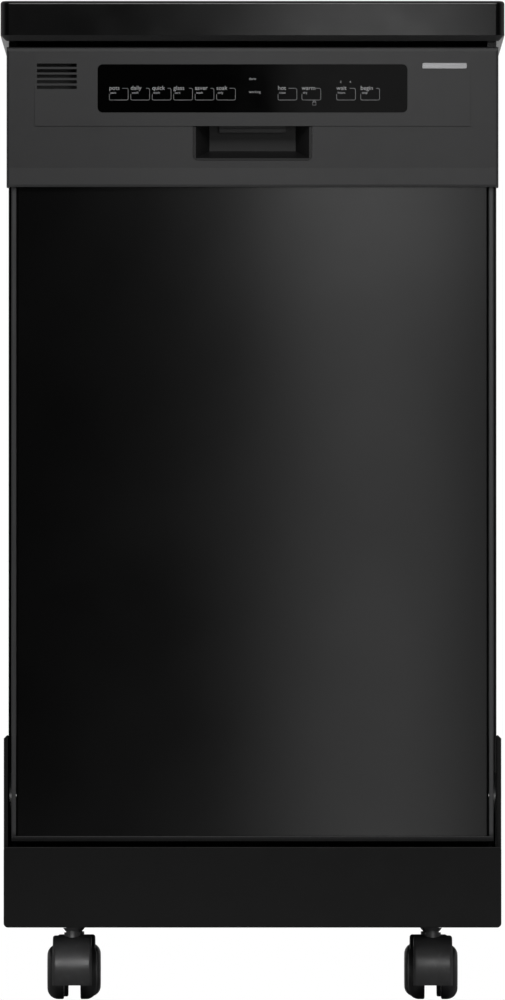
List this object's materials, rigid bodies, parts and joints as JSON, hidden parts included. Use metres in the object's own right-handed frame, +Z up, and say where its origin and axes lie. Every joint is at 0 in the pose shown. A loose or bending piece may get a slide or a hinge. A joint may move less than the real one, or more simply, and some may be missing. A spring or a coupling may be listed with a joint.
{
  "type": "portable dishwasher",
  "caption": "Slim front-loading dishwasher on casters: drop-down door with control console, steel tub, sliding racks, spray arms and worktop.",
  "frame": {"origin": "on the floor under the centre of the worktop's outline", "axes": "+Z up, +Y towards the back, the door faces -Y, +X to the right seen from the front"},
  "size_m": [0.456, 0.61, 0.903],
  "materials": {
    "black_laminate": "satin",
    "black_edge_trim": "gloss",
    "black_painted_steel": "gloss",
    "galvanised_steel": "satin",
    "black_moulding": "matte",
    "charcoal_console": "satin",
    "window_black": "gloss",
    "stainless": "brushed",
    "grey_coated_wire": "satin",
    "grey_plastic": "satin",
    "seal_rubber": "matte",
    "pump_housing": "satin",
    "white_valve": "satin",
    "circuit_board": "satin",
    "caster_black": "satin",
    "caster_tyre": "satin"
  },
  "bodies": {
    "cabinet": {"worktop_board": "black_laminate", "worktop_edge_trim": "black_edge_trim", "side_panel_left": "black_painted_steel", "side_panel_right": "black_painted_steel", "back_panel": "galvanised_steel", "base_frame": "black_moulding", "toe_kick": "black_moulding", "cabinet_screws": "galvanised_steel", "tub": "stainless", "door_seal": "seal_rubber", "latch_strike": "stainless", "hinge_brackets": "galvanised_steel", "balance_springs": "galvanised_steel", "sump": "black_moulding", "filter_assembly": "grey_plastic", "wash_pump": "pump_housing", "drain_pump": "pump_housing", "inlet_valve": "white_valve", "rear_hose_box": "black_moulding", "spray_feed_pipe": "grey_plastic", "heater_element": "stainless"},
    "door": {"door_outer_panel": "black_painted_steel", "door_trims": "black_edge_trim", "inner_door_liner": "stainless", "console_fascia": "charcoal_console", "console_window": "window_black", "control_board": "circuit_board", "latch_body": "black_moulding", "dispenser_body": "grey_plastic", "hinge_arms": "galvanised_steel"},
    "latch_paddle": {"latch_paddle": "charcoal_console"},
    "dispenser_lid": {"dispenser_lid": "grey_plastic"},
    "rinse_aid_cap": {"rinse_aid_cap": "grey_plastic"},
    "lower_spray_arm": {"lower_spray_arm": "grey_plastic"},
    "upper_spray_arm": {"upper_spray_arm": "grey_plastic"},
    "lower_rack": {"lower_rack": "grey_coated_wire"},
    "lower_rack_wheels_front": {"lower_rack_wheels_front": "grey_plastic"},
    "lower_rack_wheels_rear": {"lower_rack_wheels_rear": "grey_plastic"},
    "upper_rack": {"upper_rack": "grey_coated_wire"},
    "rail_rollers_front": {"rail_rollers_front": "grey_plastic"},
    "rail_rollers_rear": {"rail_rollers_rear": "grey_plastic"},
    "silverware_basket": {"silverware_basket": "grey_plastic"},
    "touch_pad_01": {"touch_pad_01": "window_black"},
    "touch_pad_02": {"touch_pad_02": "window_black"},
    "touch_pad_03": {"touch_pad_03": "window_black"},
    "touch_pad_04": {"touch_pad_04": "window_black"},
    "touch_pad_05": {"touch_pad_05": "window_black"},
    "touch_pad_06": {"touch_pad_06": "window_black"},
    "touch_pad_07": {"touch_pad_07": "window_black"},
    "touch_pad_08": {"touch_pad_08": "window_black"},
    "touch_pad_09": {"touch_pad_09": "window_black"},
    "touch_pad_10": {"touch_pad_10": "window_black"},
    "caster_housing_front_left": {"caster_housing_front_left": "caster_black"},
    "caster_wheels_front_left": {"caster_wheels_front_left": "caster_tyre"},
    "caster_housing_rear_left": {"caster_housing_rear_left": "caster_black"},
    "caster_wheels_rear_left": {"caster_wheels_rear_left": "caster_tyre"},
    "caster_housing_front_right": {"caster_housing_front_right": "caster_black"},
    "caster_wheels_front_right": {"caster_wheels_front_right": "caster_tyre"},
    "caster_housing_rear_right": {"caster_housing_rear_right": "caster_black"},
    "caster_wheels_rear_right": {"caster_wheels_rear_right": "caster_tyre"}
  },
  "joints": [
    {"name": "door_hinge", "type": "hinge", "parent": "cabinet", "child": "door", "pos_m": [0, -0.262, 0.172], "axis": [1, 0, 0], "range_deg": [0, 90], "stiffness_Nm_per_rad": 11},
    {"name": "lower_rack_slide", "type": "slide", "parent": "cabinet", "child": "lower_rack", "axis": [0, -1, 0], "range_m": [0, 0.1571]},
    {"name": "lower_wheels_front_roll", "type": "hinge", "parent": "lower_rack", "child": "lower_rack_wheels_front", "pos_m": [0, -0.12, 0.2213], "axis": [1, 0, 0], "range_deg": [0, 600.1]},
    {"name": "lower_wheels_rear_roll", "type": "hinge", "parent": "lower_rack", "child": "lower_rack_wheels_rear", "pos_m": [0, 0.13, 0.2213], "axis": [1, 0, 0], "range_deg": [0, 600.1]},
    {"name": "silverware_lift", "type": "slide", "parent": "lower_rack", "child": "silverware_basket", "axis": [0, 0, 1], "range_m": [0, 0.095]},
    {"name": "upper_rack_slide", "type": "slide", "parent": "cabinet", "child": "upper_rack", "axis": [0, -1, 0], "range_m": [0, 0.3299]},
    {"name": "rail_rollers_front_roll", "type": "hinge", "parent": "cabinet", "child": "rail_rollers_front", "pos_m": [0, -0.19, 0.59], "axis": [1, 0, 0], "range_deg": [0, 1890.1]},
    {"name": "rail_rollers_rear_roll", "type": "hinge", "parent": "cabinet", "child": "rail_rollers_rear", "pos_m": [0, -0.11, 0.59], "axis": [1, 0, 0], "range_deg": [0, 1890.1]},
    {"name": "lower_arm_spin", "type": "hinge", "parent": "cabinet", "child": "lower_spray_arm", "pos_m": [0, 0.02, 0.217], "axis": [0, 0, 1], "continuous": true},
    {"name": "upper_arm_spin", "type": "hinge", "parent": "upper_rack", "child": "upper_spray_arm", "pos_m": [0, 0.005, 0.488], "axis": [0, 0, 1], "continuous": true},
    {"name": "latch_paddle_pull", "type": "hinge", "parent": "door", "child": "latch_paddle", "pos_m": [0, -0.283, 0.798], "axis": [-1, 0, 0], "range_deg": [0, 18], "stiffness_Nm_per_rad": 0.05, "springref_deg": -11.46},
    {"name": "dispenser_lid_hinge", "type": "hinge", "parent": "door", "child": "dispenser_lid", "pos_m": [-0.032, -0.2268, 0.5026], "axis": [1, 0, 0], "range_deg": [0, 95]},
    {"name": "rinse_aid_cap_turn", "type": "hinge", "parent": "door", "child": "rinse_aid_cap", "pos_m": [0.048, -0.23, 0.478], "axis": [0, 1, 0], "range_deg": [0, 90]},
    {"name": "touch_pad_01_press", "type": "slide", "parent": "door", "child": "touch_pad_01", "axis": [0, 1, 0], "range_m": [0, 0.0006], "stiffness_N_per_m": 1000},
    {"name": "touch_pad_02_press", "type": "slide", "parent": "door", "child": "touch_pad_02", "axis": [0, 1, 0], "range_m": [0, 0.0006], "stiffness_N_per_m": 1000},
    {"name": "touch_pad_03_press", "type": "slide", "parent": "door", "child": "touch_pad_03", "axis": [0, 1, 0], "range_m": [0, 0.0006], "stiffness_N_per_m": 1000},
    {"name": "touch_pad_04_press", "type": "slide", "parent": "door", "child": "touch_pad_04", "axis": [0, 1, 0], "range_m": [0, 0.0006], "stiffness_N_per_m": 1000},
    {"name": "touch_pad_05_press", "type": "slide", "parent": "door", "child": "touch_pad_05", "axis": [0, 1, 0], "range_m": [0, 0.0006], "stiffness_N_per_m": 1000},
    {"name": "touch_pad_06_press", "type": "slide", "parent": "door", "child": "touch_pad_06", "axis": [0, 1, 0], "range_m": [0, 0.0006], "stiffness_N_per_m": 1000},
    {"name": "touch_pad_07_press", "type": "slide", "parent": "door", "child": "touch_pad_07", "axis": [0, 1, 0], "range_m": [0, 0.0006], "stiffness_N_per_m": 1000},
    {"name": "touch_pad_08_press", "type": "slide", "parent": "door", "child": "touch_pad_08", "axis": [0, 1, 0], "range_m": [0, 0.0006], "stiffness_N_per_m": 1000},
    {"name": "touch_pad_09_press", "type": "slide", "parent": "door", "child": "touch_pad_09", "axis": [0, 1, 0], "range_m": [0, 0.0006], "stiffness_N_per_m": 1000},
    {"name": "touch_pad_10_press", "type": "slide", "parent": "door", "child": "touch_pad_10", "axis": [0, 1, 0], "range_m": [0, 0.0006], "stiffness_N_per_m": 1000},
    {"name": "caster_swivel_front_left", "type": "hinge", "parent": "cabinet", "child": "caster_housing_front_left", "pos_m": [-0.1635, -0.242, 0.08], "axis": [0, 0, 1], "continuous": true},
    {"name": "caster_roll_front_left", "type": "hinge", "parent": "caster_housing_front_left", "child": "caster_wheels_front_left", "pos_m": [-0.1635, -0.23, 0.025], "axis": [1, 0, 0], "continuous": true},
    {"name": "caster_swivel_rear_left", "type": "hinge", "parent": "cabinet", "child": "caster_housing_rear_left", "pos_m": [-0.1635, 0.242, 0.08], "axis": [0, 0, 1], "continuous": true},
    {"name": "caster_roll_rear_left", "type": "hinge", "parent": "caster_housing_rear_left", "child": "caster_wheels_rear_left", "pos_m": [-0.1635, 0.254, 0.025], "axis": [1, 0, 0], "continuous": true},
    {"name": "caster_swivel_front_right", "type": "hinge", "parent": "cabinet", "child": "caster_housing_front_right", "pos_m": [0.1635, -0.242, 0.08], "axis": [0, 0, 1], "continuous": true},
    {"name": "caster_roll_front_right", "type": "hinge", "parent": "caster_housing_front_right", "child": "caster_wheels_front_right", "pos_m": [0.1635, -0.23, 0.025], "axis": [1, 0, 0], "continuous": true},
    {"name": "caster_swivel_rear_right", "type": "hinge", "parent": "cabinet", "child": "caster_housing_rear_right", "pos_m": [0.1635, 0.242, 0.08], "axis": [0, 0, 1], "continuous": true},
    {"name": "caster_roll_rear_right", "type": "hinge", "parent": "caster_housing_rear_right", "child": "caster_wheels_rear_right", "pos_m": [0.1635, 0.254, 0.025], "axis": [1, 0, 0], "continuous": true}
  ],
  "couplings": [
    {"joint": "lower_rack_slide", "follows": "door_hinge", "m_per_rad": 0.1},
    {"joint": "lower_wheels_front_roll", "follows": "door_hinge", "ratio": 6.6667},
    {"joint": "lower_wheels_rear_roll", "follows": "door_hinge", "ratio": 6.6667},
    {"joint": "upper_rack_slide", "follows": "door_hinge", "m_per_rad": 0.21},
    {"joint": "rail_rollers_front_roll", "follows": "door_hinge", "ratio": 21},
    {"joint": "rail_rollers_rear_roll", "follows": "door_hinge", "ratio": 21}
  ]
}
